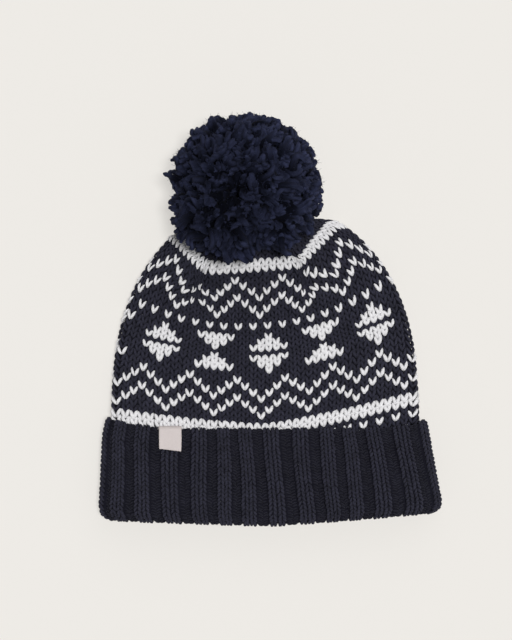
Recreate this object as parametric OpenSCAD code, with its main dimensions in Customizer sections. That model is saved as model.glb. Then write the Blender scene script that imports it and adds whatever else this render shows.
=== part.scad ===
// Pom pom beanie, lying flat on its back with the mouth towards -Y and the front facing up.
// A ribbed cuff is turned up over its own band, the knit body is drawn together at the crown,
// and a yarn pom pom is tied to the gather. Distances along the hat are counted from the hem.

/* [Knit body] */
// Width of the body lying flat, across its widest rows
body_w = 215; // [190:1:240]
// Length from the hem to the drawn-in top of the crown
crown_h = 214; // [200:1:240]
// Length from the hem to where the sides begin to draw in
straight_h = 78; // [70:1:95]
// Length by which the drawn-in sides would run on past the top before they met
crown_blunt = 10; // [4:1:20]
// Fullness of the crown's outline, where 2 is an ellipse
crown_fullness = 2.3; // [2:0.1:3]
// Thickness of the patterned knit
knit_wall = 3.5; // [2.5:0.1:5]
// Height of the hollow between the front and the back
hollow_h = 14; // [12:0.5:20]
// Soft folds gathered around the crown
gathers = 12; // [8:1:16]
// Depth of the gathered folds
gather_depth = 1.6; // [0.5:0.1:2.2]
// Distance of each front pleat from the gather, across the hat
pleat_x = 31; // [24:1:36]
// Depth of the two front pleats
pleat_depth = 2.5; // [1:0.1:3]
// Distance of the gather to the side of the body's centre line
gather_x = -13; // [-20:1:20]

/* [Cuff] */
// Height of the turned-up cuff
cuff_h = 68.5; // [55:0.5:75]
// Thickness of the turned-up ribbing
cuff_wall = 5; // [4:0.1:7]
// Thickness of the band inside the cuff
band_wall = 3.5; // [2.5:0.1:5]
// Ribs around the hat
rib_count = 26; // [20:2:32]
// Depth of the valleys between the ribs
rib_depth = 1.6; // [0.8:0.1:2]
// Widening of each side of the cuff from its top edge to the hem
hem_flare = 6.5; // [0:0.5:10]
// Sideways shift of the hem against the body
hem_skew = 3.5; // [0:0.5:6]
// Height by which the hem curves up at the sides
hem_sag = 9; // [4:0.5:14]
// Height by which the cuff's top edge curves up at the sides
edge_sag = 5; // [2:0.5:14]
// Clearance between the cuff and the band
cuff_gap = 0.5; // [0.3:0.1:1]

/* [Pom pom] */
// Diameter of the yarn ball
pom_d = 104; // [80:1:115]
// Slope of the line from the tie to the middle of the ball
pom_lean = 72; // [68:1:80]
// Depth of the tie below the ball's round surface
pom_sink = 10; // [8:0.5:14]
// Angle by which the ball can tip back over the crown
pom_lift = 18; // [5:1:20]
// Tufts around the ball
tuft_count = 70; // [40:1:110]
// Depth of the dips between tufts
tuft_depth = 3.5; // [1:0.1:5]

/* [Tie yarn] */
// Diameter of the yarn that ties the ball on
tie_d = 4.4; // [3:0.1:5]
// Diameter of the knots on the tie
knot_d = 8.4; // [7:0.1:9]
// Diameter of the yarn that draws the crown together
draw_d = 2; // [1.5:0.1:2.5]
// Length of the drawn-in stub at the top of the crown
stub_len = 6; // [4:0.5:8]
// Clearance around the yarns
yarn_gap = 0.3; // [0.2:0.05:0.5]

/* [Label] */
// Width of the folded label
label_w = 15.5; // [10:0.5:25]
// Length of the label from its sewn edge to its fold
label_l = 17; // [10:0.5:30]
// Thickness of the folded label
label_t = 1.2; // [0.8:0.1:2]
// Gap between the two layers of the label
label_slit = 0.2; // [0.1:0.05:0.4]
// Distance of the label's middle from the body's centre line
label_x = -66; // [-75:1:75]
// Distance of the sewn edge below the cuff's top edge
label_inset = 2; // [2:0.1:5]

/* [Back seam] */
// Width of the seam up the inside of the back
seam_w = 5; // [3:0.5:8]
// Height of the seam
seam_h = 1.4; // [1:0.1:2]

/* [Hidden] */

navy = [0.13, 0.13, 0.17];
bright_navy = [0.12, 0.14, 0.24];
off_white = [0.86, 0.84, 0.82];

// Depth to which soft undersides are pressed flat on the surface below
rest_flat = 0.5;
// Fullness of the flat-lying loop's side edges, where 2 is an ellipse
edge_fullness = 4;
// Samples of a loop's length, points along one gathered fold, and rings along the body
loop_samples = 240;
fold_steps = 6;
body_rings = 14;
loop_n = gathers * fold_steps;

// The band, the fold at the hem and the cuff, counted outwards from the hollow
cuff_in = band_wall + cuff_gap;
cuff_out = cuff_in + cuff_wall;
lip_r = cuff_out / 2;
edge_r = cuff_wall / 2;
band_start = lip_r + cuff_gap;
band_end = cuff_h - edge_r;
body_start = band_end + cuff_gap;
band_half = body_w / 2 - band_wall;

// Heights of the middles of the flat loops above the surface below
cuff_z = hollow_h / 2 + cuff_out - rest_flat;
body_z = hollow_h / 2 + knit_wall - rest_flat;

// The tie runs through the drawn-in stub to the knot that the ball turns on
hole_r = tie_d / 2 + yarn_gap;
stub_r = hole_r + knit_wall;
stub_end = crown_h + stub_len;
crown_reach = crown_h + crown_blunt;
pivot_s = stub_end + knot_d / 2 + yarn_gap;
// The hem's widest point is centred, and the body stands to its side by the hem's skew
body_x = -hem_skew * (1 - lip_r / cuff_h);
tie_x = body_x + gather_x;
tie_z = stub_r + yarn_gap + draw_d;

// The ball, seen along the line from the tie to its middle
pom_r = pom_d / 2;
pom_h = pom_r - pom_sink;
binding_d = 2.8;
binding_r = hole_r + binding_d / 2;
core_r = binding_r + binding_d / 2 + yarn_gap;
pom_sides = 40;

// The ball's flat seat clears the crown's slope when the ball is tipped back as far as it goes
crown_slope = 31;
seat_normal = 90 - crown_slope - pom_lift;
seat_off = knot_d / 2 + draw_d;
seat_depth = pom_h * cos(pom_lean - seat_normal) - seat_off;

function mix(a, b, t) = a + (b - a) * t;

function smooth(t) =
    let (u = min(1, max(0, t)))
    u * u * (3 - 2 * u);

// A point of a flattened loop of half-width a and half-height b, moved outwards by d
function loop_point(a, b, p, t, d) =
    let (x = a * sign(cos(t)) * pow(abs(cos(t)), 2 / p),
         z = b * sin(t),
         n = [p / a * sign(x) * pow(abs(x / a), p - 1), 2 / b * z / b])
    [x, z] + d * n / norm(n);

// The running length along a loop, paired with the angle it is reached at
function loop_lengths(a, b, p, d) =
    let (pts = [for (i = [0 : loop_samples]) loop_point(a, b, p, 360 * i / loop_samples, d)])
    [for (i = 0, s = 0;
          i <= loop_samples;
          s = s + (i < loop_samples ? norm(pts[i + 1] - pts[i]) : 0), i = i + 1)
        [s, 360 * i / loop_samples]];

// Angles at the given shares of a loop's length
function loop_angles(a, b, p, d, shares) =
    let (lengths = loop_lengths(a, b, p, d),
         total = lengths[loop_samples][0])
    [for (q = shares) lookup(total * q, lengths)];

// Triangles between rings of n points each, where the last ring closes on the first
function ring_faces(rings, n) =
    [for (j = [0 : rings - 1], k = [0 : n - 1])
        let (j2 = (j + 1) % rings, k2 = (k + 1) % n)
        for (f = [[j * n + k, j2 * n + k, j2 * n + k2], [j * n + k, j2 * n + k2, j * n + k2]]) f];

module ring_solid(rings) {
    n = len(rings[0]);
    polyhedron([for (r = rings, p = r) p], ring_faces(len(rings), n), convexity = 6);
}

// Height by which the ribbing curves up at the sides, at a distance from the hem
function sag_at(s) = mix(hem_sag, edge_sag, s / cuff_h);

// Half-width of the body's outline at a distance from the hem
function outline_half(s, half) =
    let (q = min(1, max(0, (s - straight_h) / (crown_reach - straight_h))))
    half * pow(1 - pow(q, crown_fullness), 1 / crown_fullness);

// Share by which a ring has closed in from the outline to the stub, over the rounded top edge
crown_round = 7;
function closing(s, top) =
    let (q = min(1, max(0, 1 + (s - top) / crown_round)))
    1 - sqrt(1 - q * q);

// Depth of the gathered folds and of the two front pleats along the body
function fold_depth(v) = gather_depth * smooth((v - 0.6) / 0.3) * smooth((1 - v) / 0.06);
function pleat_share(v) = smooth((v - 0.62) / 0.12) * smooth((0.95 - v) / 0.12);
pleat_w = 6;

// One ring of the body, on its outer or its inner face, at a share v of the way to the crown
function body_ring(v, outer) =
    let (top = outer ? crown_h : crown_h - knit_wall,
         half = body_w / 2 - (outer ? 0 : knit_wall),
         least = outer ? stub_r : hole_r,
         s = mix(body_start, top, v),
         sag = sag_at(body_start) * smooth((1 - v) / 0.3),
         close = closing(s, top),
         a = mix(outline_half(s + sag, half), least, close) - (outer ? knit_wall : 0),
         b = mix(hollow_h / 2, hole_r, smooth((v - 0.94) / 0.06)),
         p = mix(edge_fullness, 2, smooth((v - 0.8) / 0.2)),
         wall = outer ? knit_wall : 0,
         xm = body_x + gather_x * close,
         zm = mix(mix(cuff_z, body_z, smooth(v / 0.3)), tie_z, smooth((v - 0.85) / 0.15)),
         angles = loop_angles(a, b, p, knit_wall, [for (k = [0 : loop_n - 1]) k / loop_n]))
    [for (k = [0 : loop_n - 1])
        let (t = angles[k],
             base = loop_point(a, b, p, t, wall),
             off = abs(base[0] + xm - tie_x) - pleat_x,
             dip = fold_depth(v) * cos(360 * k / fold_steps)
                 - pleat_depth * pleat_share(v) * (sin(t) > 0 ? exp(-pow(off / pleat_w, 2)) : 0),
             q = loop_point(a, b, p, t, wall + dip))
        [xm + q[0], hem_y + s + sag * pow(2 * q[0] / body_w, 2), max(0, zm + q[1])]];

// One end ring of the drawn-in stub
function stub_ring(r, s) =
    [for (k = [0 : loop_n - 1])
        [tie_x + r * cos(360 * k / loop_n), hem_y + s, max(0, tie_z + r * sin(360 * k / loop_n))]];

module knit_body() {
    steps = [for (j = [0 : body_rings]) 1 - pow(1 - j / body_rings, 1.8)];
    outer = [for (v = steps) body_ring(v, true)];
    inner = [for (j = [body_rings : -1 : 0]) body_ring(steps[j], false)];
    color(navy)
        ring_solid(concat(outer, [stub_ring(stub_r, stub_end)], [stub_ring(hole_r, stub_end)], inner));
}

// Places along each rib, four on its crest and two in the valley after it, as shares of its width
rib_edges = [-0.36, -0.13, 0.13, 0.36, 0.44, 0.56];
crest_points = 4;
rib_shares = [for (i = [0 : rib_count - 1], e = rib_edges) (i + e + 0.5) / rib_count];
rib_n = len(rib_shares);
function rib_dip(k) = k % len(rib_edges) < crest_points ? 0 : rib_depth;

// One ring of ribbing at a distance s from the hem, d outwards from the hollow
function rib_ring(d, s, ribbed, flare) =
    let (spread = flare * (1 - s / cuff_h),
         a = band_half + hem_flare * spread,
         xm = body_x + hem_skew * spread,
         angles = loop_angles(a, hollow_h / 2, edge_fullness, cuff_out, rib_shares))
    [for (k = [0 : rib_n - 1])
        let (q = loop_point(a, hollow_h / 2, edge_fullness, angles[k], d - ribbed * rib_dip(k)))
        [xm + q[0], hem_y + s + sag_at(s) * pow(q[0] / (a + band_wall), 2), max(0, cuff_z + q[1])]];

// The fold at the hem, the outer face, the rolled top edge and the inner face
module cuff() {
    lip_steps = 6;
    edge_steps = 4;
    lip = [for (i = [0 : lip_steps])
        let (t = 180 * i / lip_steps)
        rib_ring(lip_r * (1 - cos(t)), lip_r * (1 - sin(t)), i / lip_steps, 1)];
    face = [for (i = [1 : 2]) rib_ring(cuff_out, mix(lip_r, cuff_h - edge_r, i / 3), 1, 1)];
    edge = [for (i = [0 : edge_steps])
        let (t = 180 * i / edge_steps)
        rib_ring(cuff_out - edge_r + edge_r * cos(t), cuff_h - edge_r * (1 - sin(t)),
                 1 - i / edge_steps, 1)];
    color(navy)
        ring_solid(concat(lip, face, edge, [rib_ring(cuff_in, lip_r, 0, 1)]));
}

module inner_band() {
    inner_ribs = -0.4;
    color(navy)
        ring_solid([rib_ring(0, band_start, inner_ribs, 0), rib_ring(band_wall, band_start, 1, 0),
                    rib_ring(band_wall, band_end, 1, 0), rib_ring(0, band_end, inner_ribs, 0)]);
}

// A flat ridge of sewn edges that follows the inside of the back up to the crown
module back_seam() {
    seam_rings = 14;
    seam_end = 0.86;
    path = [for (j = [0 : seam_rings])
        let (v = seam_end * j / seam_rings,
             s = mix(body_start, crown_h - knit_wall, v),
             zm = mix(cuff_z, body_z, smooth(v / 0.3)),
             fold = fold_depth(v))
        [body_x, s, max(knit_wall - rest_flat, zm - hollow_h / 2) + fold + yarn_gap]];
    points = concat([[body_x, band_start, cuff_z - hollow_h / 2 + yarn_gap]], path);
    rings = [for (p = points)
        [for (c = [[-1, 0], [1, 0], [0.7, 1], [-0.7, 1]])
            [p[0] + c[0] * seam_w / 2, hem_y + p[1], p[2] + c[1] * seam_h]]];
    last = len(rings) - 1;
    color(navy)
        polyhedron([for (r = rings, q = r) q],
                   concat([for (j = [0 : last - 1], k = [0 : 3])
                               let (k2 = (k + 1) % 4)
                               for (f = [[j * 4 + k, (j + 1) * 4 + k, (j + 1) * 4 + k2],
                                         [j * 4 + k, (j + 1) * 4 + k2, j * 4 + k2]]) f],
                          [[0, 1, 2], [0, 2, 3]],
                          [[last * 4 + 2, last * 4 + 1, last * 4], [last * 4 + 3, last * 4 + 2, last * 4]]),
                   convexity = 4);
}

// Places its children at a point of the tie, with their Z axis along the hat
module along_tie(s) {
    translate([tie_x, hem_y + s, tie_z])
        rotate([-90, 0, 0])
            children();
}

module gather_cord() {
    ring_r = stub_r + yarn_gap + draw_d / 2;
    color(navy)
        along_tie(crown_h + stub_len / 2)
            rotate_extrude($fn = 48)
                translate([ring_r, 0])
                    circle(d = draw_d, $fn = 24);
}

// The yarn's knotted end inside the crown, and its run through the stub
module tie_yarn() {
    knot_s = crown_h - knit_wall - 0.75 * knot_d - 2 * yarn_gap;
    color(bright_navy) {
        along_tie(knot_s)
            sphere(d = knot_d, $fn = 32);
        along_tie(knot_s)
            cylinder(d = tie_d, h = stub_end - knot_s, $fn = 32);
    }
}

module tie_knot() {
    color(bright_navy)
        along_tie(pivot_s)
            sphere(d = knot_d, $fn = 48);
}

// Places its children at the tie, with their Z axis towards the middle of the ball
module along_pom() {
    translate([tie_x, hem_y + pivot_s, tie_z])
        rotate([pom_lean - 90, 0, 0])
            children();
}

module pom_tie() {
    start = knot_d / 2 + yarn_gap;
    color(bright_navy)
        along_pom()
            translate([0, 0, start])
                cylinder(d = tie_d, h = pom_h + binding_d / 2 - start, $fn = 32);
}

module pom_binding() {
    color(bright_navy)
        along_pom()
            translate([0, 0, pom_h])
                rotate_extrude($fn = 48)
                    translate([binding_r, 0])
                        circle(d = binding_d, $fn = 24);
}

// Directions spread evenly over the ball, one for each tuft
golden_turn = 180 * (3 - sqrt(5));
tufts = [for (i = [0 : tuft_count - 1])
    let (z = 1 - 2 * (i + 0.5) / tuft_count, r = sqrt(1 - z * z))
    [r * cos(golden_turn * i), r * sin(golden_turn * i), z]];
tuft_spread = sqrt(4 / tuft_count);

// Radius of the ball in a direction: full at the middle of a tuft, lower between tufts, and cut
// short where it meets the flat seat
function ball_radius(u) =
    let (near = min([for (t = tufts) norm(t - u)]),
         round_r = pom_r - tuft_depth * min(1, pow(near / tuft_spread, 2)),
         turn = pom_lean - seat_normal,
         down = -u[1] * sin(turn) - u[2] * cos(turn))
    down > 0 ? min(round_r, seat_depth / down) : round_r;

// The ball's point at angles f from its top and g around, counted from the tie
function ball_point(f, g) =
    let (u = [sin(f) * cos(g), sin(f) * sin(g), cos(f)])
    [0, 0, pom_h] + ball_radius(u) * u;

// The ball's round face and flat seat, from its top to the bore for the tie
ball_steps = 20;
bore_angle = asin(hole_r / seat_depth);
ball_points = [for (j = [1 : ball_steps], i = [0 : pom_sides - 1])
    ball_point(j * (180 - bore_angle) / ball_steps, 360 * i / pom_sides)];

// The hem's middle and the ball's far side lie equally far from the origin
pom_far = max([for (q = ball_points) q[1] * sin(pom_lean) + q[2] * cos(pom_lean)]);
overall_l = pivot_s + pom_far;
hem_y = -overall_l / 2;

// A point of the ball's frame turned into the hat's frame and pressed flat on the surface below
function pom_place(q) =
    [tie_x + q[0],
     hem_y + pivot_s + q[1] * sin(pom_lean) + q[2] * cos(pom_lean),
     max(0, tie_z - q[1] * cos(pom_lean) + q[2] * sin(pom_lean))];

// The tufted ball, with a bore for the tie and a hollow for the binding at its middle
module pom_pom() {
    core_steps = 4;
    core_angle = asin(hole_r / core_r);
    n = pom_sides;
    core = [for (j = [0 : core_steps - 1], i = [0 : n - 1])
        let (t = mix(180 - core_angle, 0, j / core_steps), g = 360 * i / n)
        [core_r * sin(t) * cos(g), core_r * sin(t) * sin(g), pom_h + core_r * cos(t)]];
    points = concat(ball_points, core, [ball_point(0, 0), [0, 0, pom_h + core_r]]);
    last = ball_steps + core_steps - 1;
    top = (last + 1) * n;
    walls = [for (j = [0 : last - 1], k = [0 : n - 1])
        let (k2 = (k + 1) % n)
        for (f = [[j * n + k, (j + 1) * n + k, (j + 1) * n + k2],
                  [j * n + k, (j + 1) * n + k2, j * n + k2]]) f];
    caps = [for (k = [0 : n - 1])
        let (k2 = (k + 1) % n)
        for (f = [[top, k, k2], [top + 1, last * n + k2, last * n + k]]) f];
    color(bright_navy)
        polyhedron([for (q = points) pom_place(q)], concat(walls, caps), convexity = 6);
}

// The label lies on the cuff's front, with its sewn edge along X at the cuff's top edge
label_inner = abs(label_x) - label_w / 2;
label_front = hollow_h / 2 * sqrt(1 - pow(label_inner / band_half, edge_fullness)) + cuff_out;
label_z = cuff_z + label_front + yarn_gap + label_t / 2;
label_y = hem_y + cuff_h - label_inset + edge_sag * pow(2 * label_x / body_w, 2);

module at_label() {
    translate([body_x + label_x, label_y, label_z])
        rotate([90, 0, 90])
            children();
}

// A strip folded back on itself, with the fold at its free end
module label() {
    r = label_t / 2;
    run = label_l - label_t;
    color(off_white)
        at_label()
            linear_extrude(label_w, center = true)
                difference() {
                    union() {
                        circle(r, $fn = 32);
                        translate([-run, 0])
                            circle(r, $fn = 32);
                        translate([-run, -r])
                            square([run, label_t]);
                    }
                    translate([-run, -label_slit / 2])
                        square([run - r, label_slit]);
                }
}

// A tack of thread at each end of the label's sewn edge
module label_stitches() {
    tack_l = 3;
    color(off_white)
        at_label()
            for (side = [-1, 1])
                translate([0, 0, side * (label_w / 2 + yarn_gap + tack_l / 2)])
                    cylinder(d = label_t, h = tack_l, center = true, $fn = 24);
}

knit_body();
inner_band();
cuff();
back_seam();
gather_cord();
tie_yarn();
tie_knot();
pom_tie();
pom_binding();
pom_pom();
label();
label_stitches();
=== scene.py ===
"""Dresses a pom pom beanie that lies flat on its back, stitch by stitch.

The knit body, the ribbed cuff and the band inside it are laid with separate yarn loops on surfaces
that repeat the solid parts' formulas. The pom pom is a ball of curly strands. Lengths are in metres,
distances along the hat are counted from the hem, and +Y points from the mouth to the pom pom.
"""

import math

import bpy
import numpy as np
from bpy.props import FloatProperty, FloatVectorProperty, IntProperty, PointerProperty
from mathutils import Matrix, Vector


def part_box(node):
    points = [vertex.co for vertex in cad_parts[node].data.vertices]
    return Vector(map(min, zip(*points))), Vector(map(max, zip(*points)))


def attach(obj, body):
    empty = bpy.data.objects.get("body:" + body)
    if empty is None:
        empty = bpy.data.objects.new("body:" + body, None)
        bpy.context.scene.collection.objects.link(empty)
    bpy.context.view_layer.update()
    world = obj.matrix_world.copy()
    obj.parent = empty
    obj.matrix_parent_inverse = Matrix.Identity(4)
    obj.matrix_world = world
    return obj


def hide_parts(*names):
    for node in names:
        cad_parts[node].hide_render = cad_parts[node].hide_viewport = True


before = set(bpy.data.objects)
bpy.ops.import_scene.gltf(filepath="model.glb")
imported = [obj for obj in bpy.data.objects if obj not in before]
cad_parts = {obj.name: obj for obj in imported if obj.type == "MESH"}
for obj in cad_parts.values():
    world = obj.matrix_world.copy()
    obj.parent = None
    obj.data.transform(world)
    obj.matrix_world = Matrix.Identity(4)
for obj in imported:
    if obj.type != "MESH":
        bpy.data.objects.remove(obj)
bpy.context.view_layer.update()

bl_info = {
    "name": "Pom pom beanie",
    "version": (1, 0, 0),
    "blender": (4, 5, 0),
    "location": "View3D > Sidebar > Beanie",
    "description": "Builds a knitted beanie with a ribbed cuff, a patterned body and a yarn pom pom",
    "category": "Add Mesh",
}

# Each solid of the part, with the body that it rides on and its material slot.
NODES = {
    "knit_body": ("hat", "patterned_knit"),
    "inner_band": ("hat", "ribbed_knit"),
    "back_seam": ("hat", "tie_yarn"),
    "gather_cord": ("hat", "tie_yarn"),
    "tie_yarn": ("hat", "tie_yarn"),
    "cuff": ("cuff", "ribbed_knit"),
    "label_stitches": ("cuff", "woven_label"),
    "label": ("label", "woven_label"),
    "tie_knot": ("tie", "tie_yarn"),
    "pom_pom": ("pom", "pom_yarn"),
    "pom_tie": ("pom", "tie_yarn"),
    "pom_binding": ("pom", "tie_yarn"),
}

FULL_TURN = 2.0 * math.pi
SIDEWAYS, ALONG, UP = np.eye(3)
LOOP_SAMPLES = 720  # points around a loop of the knit
FLAT, ROUND = 4.0, 2.0  # powers of a flattened loop and of a round one
BODY_TUCK = 0.003  # length of the body that goes on below its solid's edge, under the cuff
RIB_STEP = 0.0017  # distance between rows of points on the ribbing
RIB_SAMPLES = 16  # points across one rib
INNER_GAP = 0.0002  # distance of the cuff's lining from its solid's inner face
EDGE_SLACK = 0.0003  # distance by which the cuff's top edge stands above its solid's

# Courses of the body are counted upwards from 0, and each of the two stripes takes two of them.
STRIPES = (2, 3, 31, 32)
STRIPE_MIDDLE = 2.5
TOP_COURSE = 39.5
LEVEL_TOP = 31.5  # course above which the level part between the pleats gets no narrower
ROWS = [0, 2.5, 8, 14, 18, 22, 26, 29, 31.5]
PLEAT_ROWS = [24, 31.5, 36, 40]

# How the courses lie, as values at some of them: the lift of a course's middle, its climb to both
# sides, its tilt to the right and the power of its curve; the distance of the two pleats from the
# tie, their depth and the fold at their left; then the yarn that the pleats swallow, the ease of
# the stitches that roll over the sides, the shift of the wales and their crowding at the sides.
COURSES = {
    "lift": (ROWS, [0.0, 0.0, -0.0004, 0.0, -0.0006, -0.0011, -0.0004, 0.0, 0.0]),
    "sag": ([*ROWS, 33, 34, 36, 38, 39.5],
            [0.0150, 0.0157, 0.0183, 0.0211, 0.0222, 0.0260, 0.0253, 0.0258, 0.0240,
             0.0210, 0.0185, 0.0125, 0.0052, 0.0]),
    "tilt": ([*ROWS, 36, 40],
             [0.0067, 0.0058, 0.0060, 0.0067, 0.0067, 0.0070, 0.0046, 0.0042, 0.0048, 0.001, 0.0]),
    "power": (ROWS[:6], [1.25, 1.28, 1.36, 1.25, 2.0, 2.2]),
    "left_pleat": (PLEAT_ROWS, [0.0407, 0.0324, 0.019, 0.005]),
    "right_pleat": (PLEAT_ROWS, [0.0452, 0.0380, 0.019, 0.005]),
    "depth": ([25, 28, 31, 36, 39, 40], [0.0, 0.0035, 0.0062, 0.0055, 0.002, 0.0]),
    "fold": ([30, 31, 32, 34], [0.0, 0.0017, -0.0017, -0.0017]),
    "swallow": ([24, 27, 29.5, 31, 32, 33, 34, 36], [0.0, 2.4, 1.4, 0.75, 1.1, 1.8, 2.0, 1.0]),
    "roll": ([16, 26], [0.6, 0.0]),
    "shift": ([*ROWS, 32, 32.5, 33, 34],
              [0.42, 0.46, 0.59, 0.78, 0.86, 0.96, 0.88, 0.83, 0.78, 0.48, 0.13, 0.30, 0.73]),
    "crowding": (ROWS, [-0.045, -0.038, 0.006, 0.036, 0.035, 0.07, 0.148, 0.198, 0.213]),
}


def srgb(red, green, blue):
    """The linear colour that shows on screen as these three values from 0 to 255."""
    shares = [c / 255 for c in (red, green, blue)]
    return tuple(c / 12.92 if c <= 0.04045 else ((c + 0.055) / 1.055) ** 2.4 for c in shares)


def length(name, description, default):
    """A property that holds a length in metres."""
    return FloatProperty(
        name=name, description=description, default=default, precision=5, unit="LENGTH"
    )


def share(name, description, default):
    """A property that holds a plain number."""
    return FloatProperty(name=name, description=description, default=default, precision=3)


def slope(name, description, degrees):
    """A property that holds an angle, given in degrees."""
    return FloatProperty(
        name=name, description=description, default=math.radians(degrees), subtype="ANGLE"
    )


def whole(name, description, default):
    """A property that holds a whole number."""
    return IntProperty(name=name, description=description, default=default)


def direction(name, description, default):
    """A property that holds a direction."""
    return FloatVectorProperty(
        name=name, description=description, default=default, size=3, subtype="DIRECTION"
    )


def colour(name, description, default):
    """A property that holds a colour."""
    return FloatVectorProperty(
        name=name, description=description, default=default, size=3, subtype="COLOR", min=0, max=1
    )


class BodyShape(bpy.types.PropertyGroup):
    """Sizes of the patterned body."""

    width: length("Width", "Width of the body lying flat", 0.215)
    crown_height: length("Crown height", "Length from the hem to the top of the crown", 0.214)
    start: length("Start", "Length from the hem to the body's lowest course", 0.0665)
    straight: length("Straight height", "Length from the hem to where the sides draw in", 0.078)
    reach: length("Crown reach", "Length from the hem to where the sides would meet", 0.224)
    fullness: share("Crown fullness", "Roundness of the crown's outline", 2.3)
    crown_round: length("Crown rounding", "Rounding of the crown's top edge", 0.007)
    wall: length("Knit thickness", "Thickness of the patterned knit", 0.0035)
    hollow: length("Hollow height", "Height of the hollow inside", 0.014)
    centre_x: length("Centre", "Place of the body's centre line across the hat", -0.0032701)
    gather_x: length("Gather offset", "Distance of the gather from the centre line", -0.013)
    stub: length("Stub radius", "Radius of the drawn-in stub", 0.006)
    rest_z: length("Rest height", "Height of the body's middle where it lies flat", 0.010)
    tie_z: length("Tie height", "Height of the tie at the crown", 0.0083)
    wales: whole("Stitches around", "Stitches in one course", 78)
    course: length("Course height", "Height of one course of stitches", 0.003975)
    stripe_height: length("Stripe height", "Length from the hem to the lower stripe", 0.0669)


class CuffShape(bpy.types.PropertyGroup):
    """Sizes of the turned-up cuff and of the band inside it."""

    hem_y: length("Hem", "Place of the hem's middle along the hat", -0.144293)
    height: length("Height", "Height of the turned-up cuff", 0.0685)
    band_wall: length("Band thickness", "Thickness of the band inside the cuff", 0.0035)
    inner: length("Inner distance", "Distance of the cuff's inner face from the hollow", 0.004)
    outer: length("Outer distance", "Distance of the cuff's outer face from the hollow", 0.009)
    half: length("Half width", "Half the width of the band's hollow", 0.104)
    rest_z: length("Rest height", "Height of the cuff's middle", 0.0155)
    flare: length("Flare", "Widening of each side towards the hem", 0.0078)
    skew: length("Skew", "Sideways shift of the hem", 0.0043)
    hem_sag: length("Hem sag", "Height by which the hem curves up at the sides", 0.009)
    edge_sag: length("Edge sag", "Height by which the top edge curves up at the sides", 0.005)
    corner: length("Corner", "Rounding of the lower corners", 0.009)
    yarn: length("Yarn radius", "Half the thickness of the ribbing's yarn", 0.001)
    ribs: whole("Ribs", "Ribs around the hat", 26)
    rib_depth: length("Rib depth", "Depth of the valleys between the ribs", 0.0027)
    course: length("Course height", "Height of one course of the ribbing", 0.0030)


class PomShape(bpy.types.PropertyGroup):
    """Sizes of the pom pom."""

    radius: length("Radius", "Radius of the ball", 0.052)
    lean: slope("Lean", "Slope of the line from the tie to the ball's middle", 72)
    reach: length("Reach", "Distance of the ball's middle from the tie", 0.042)
    tie_y: length("Tie place", "Place along the hat that the ball turns on", 0.0802073)
    seat: length("Seat", "Distance of the ball's flat seat from the tie", 0.0062)
    seat_slope: slope("Seat slope", "Slope of the line at right angles to the seat", 41)
    tufts: whole("Tufts", "Tufts in which the strands lie together", 380)
    strands: whole("Strands", "Strands of yarn in the ball", 900)
    plies: whole("Plies", "Loose plies in one strand", 2)
    strand: length("Strand radius", "Half the thickness of one strand", 0.0024)
    hairs: whole("Hairs", "Fine hairs on the strands", 14000)
    hair: length("Hair length", "Length of the fine hairs beyond the strands", 0.0016)
    hair_radius: length("Hair radius", "Half the thickness of a hair", 0.00011)
    droop: length("Droop", "Length by which the strands over the crown are longer", 0.0095)
    droop_way: direction("Droop direction", "Direction of the longer strands", (-0.52, -0.80, 0.30))
    tuft: length("Tuft", "Length by which a tuft at the side stands out", 0.0065)
    tuft_way: direction("Tuft direction", "Direction of the tuft that stands out", (-0.98, 0.16, 0.05))
    fuller: length("Fuller side", "Length by which the ball is fuller at one side", 0.0026)
    fuller_way: direction("Fuller direction", "Direction in which the ball is fuller",
                          (-0.70, 0.70, 0.1))
    lower: length("Fuller lower side", "Length by which the ball is fuller near the crown's corner",
                  0.0045)
    lower_way: direction("Fuller lower direction", "Direction of the crown's corner",
                         (0.80, -0.58, 0.15))
    parting_x: length("Parting across", "Place of the parting to the side of the middle", -0.0115)
    parting_y: length("Parting along", "Place of the parting along the hat from the middle", -0.0095)


class LabelShape(bpy.types.PropertyGroup):
    """Sizes of the folded label."""

    width: length("Width", "Width of the label", 0.0155)
    length: length("Length", "Length from the sewn edge to the fold", 0.0155)
    thickness: length("Thickness", "Thickness of the folded label", 0.0012)
    x: length("Place across", "Place of the label's middle across the hat", -0.0692701)
    y: length("Place along", "Place of the sewn edge along the hat", -0.075908)
    z: length("Height", "Height of the sewn edge", 0.0320466)


class Finish(bpy.types.PropertyGroup):
    """Colours of the yarns, the label and the floor."""

    navy: colour("Navy yarn", "Ground colour of the knit", srgb(46, 46, 59))
    white: colour("White yarn", "Colour of the pattern", srgb(239, 238, 240))
    pom: colour("Pom pom yarn", "Colour of the pom pom", srgb(30, 33, 50))
    label: colour("Label", "Colour of the woven label", srgb(216, 206, 204))
    floor: colour("Floor", "Colour of the floor", srgb(238, 235, 230))


class StageShape(bpy.types.PropertyGroup):
    """Place of the camera and strength of the lights."""

    centre_x: length("View centre across", "Middle of the view across the hat", -0.0096)
    centre_y: length("View centre along", "Middle of the view along the hat", -0.0008)
    height: length("Camera height", "Height of the camera above the floor", 2.02)
    view: length("View height", "Length along the hat that the picture takes in", 0.448)
    level: length("View level", "Height above the floor at which the view is that long", 0.02)
    room: share("Room light", "Share of the light that comes from all around", 0.24)
    key: share("Overhead light", "Share of the light that comes from above", 0.69)
    fill: share("Window light", "Share of the light that comes from the window", 0.12)


def smooth(t):
    """An ease from 0 to 1, held at both ends."""
    t = np.clip(t, 0.0, 1.0)
    return t * t * (3.0 - 2.0 * t)


def mix(a, b, t):
    """The value at a share of the way from a to b."""
    return a + (b - a) * t


def unit(v):
    """Vectors brought to a length of one."""
    return v / np.maximum(np.linalg.norm(v, axis=-1, keepdims=True), 1e-12)


def columns(*parts):
    """Arrays set side by side, as the columns of one array."""
    return np.stack(parts, axis=1)


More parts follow.
